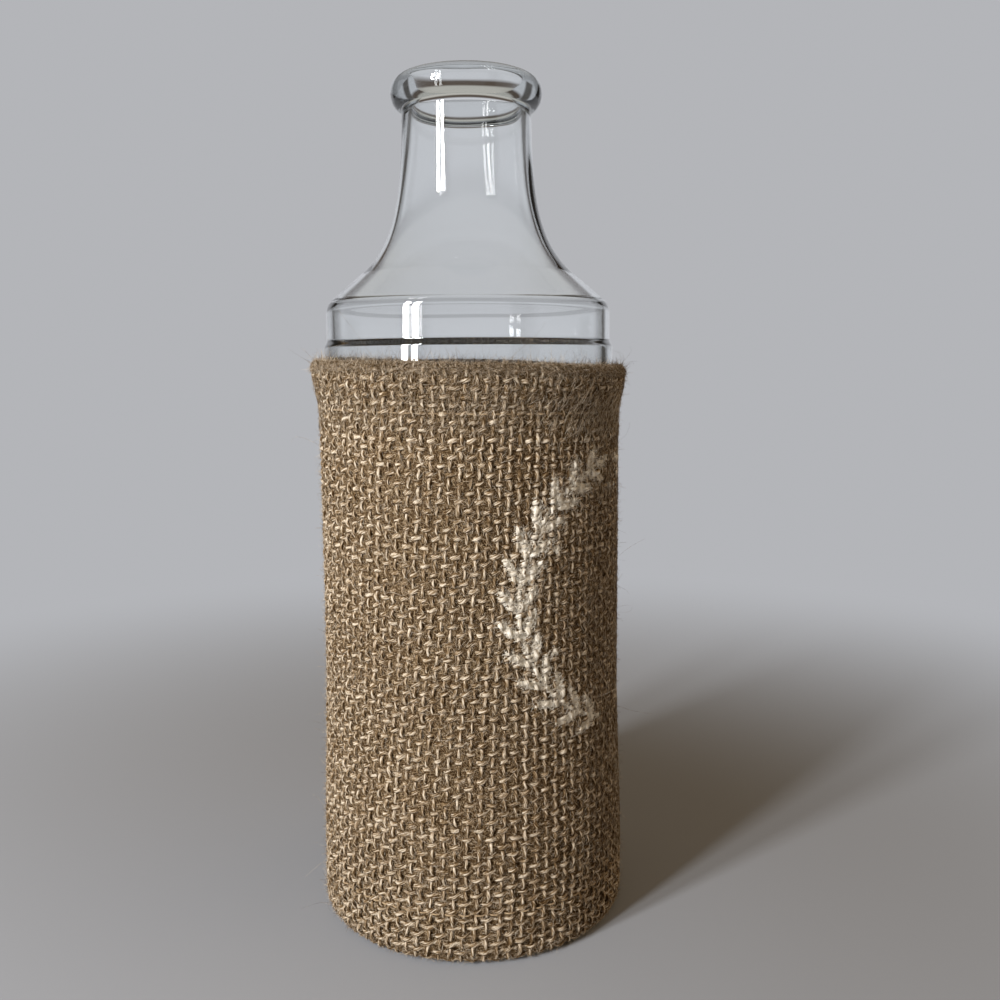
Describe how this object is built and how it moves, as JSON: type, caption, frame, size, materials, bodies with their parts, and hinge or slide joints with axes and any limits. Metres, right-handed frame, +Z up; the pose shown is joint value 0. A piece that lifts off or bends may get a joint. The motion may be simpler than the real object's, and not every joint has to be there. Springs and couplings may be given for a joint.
{
  "type": "bottle vase",
  "caption": "Clear glass bottle vase with a narrow neck and a rolled lip, in a slip-on burlap sleeve with hemmed edges and a white leaf wreath on its front.",
  "frame": {"origin": "the middle of the bottle's foot, on the surface that it stands on", "axes": "+Z up along the bottle's axis, -Y out through the middle of the wreath, +Y out through the sleeve's lapped seam"},
  "size_m": [0.0784, 0.0796, 0.208],
  "materials": {
    "clear_glass": "clear, smooth, slightly wavy",
    "burlap": "coarse plain weave, matte, with loose fibres",
    "jute_thread": "matte twisted thread",
    "white_film": "matte white, pressed into the weave"
  },
  "bodies": {
    "bottle": {"glass_bottle": "clear_glass"},
    "sleeve": {"burlap_sleeve": "burlap", "top_hem_thread": "jute_thread", "bottom_hem_thread": "jute_thread", "back_seam_thread": "jute_thread", "wreath_left_sprig": "white_film", "wreath_right_sprig": "white_film", "wreath_left_dot_1": "white_film", "wreath_left_dot_2": "white_film", "wreath_left_dot_3": "white_film", "wreath_right_dot_1": "white_film", "wreath_right_dot_2": "white_film", "wreath_right_dot_3": "white_film"}
  },
  "joints": [
    {"name": "sleeve_slide", "type": "slide", "parent": "bottle", "child": "sleeve", "axis": [0, 0, 1], "range_m": [0, 0.215]}
  ]
}
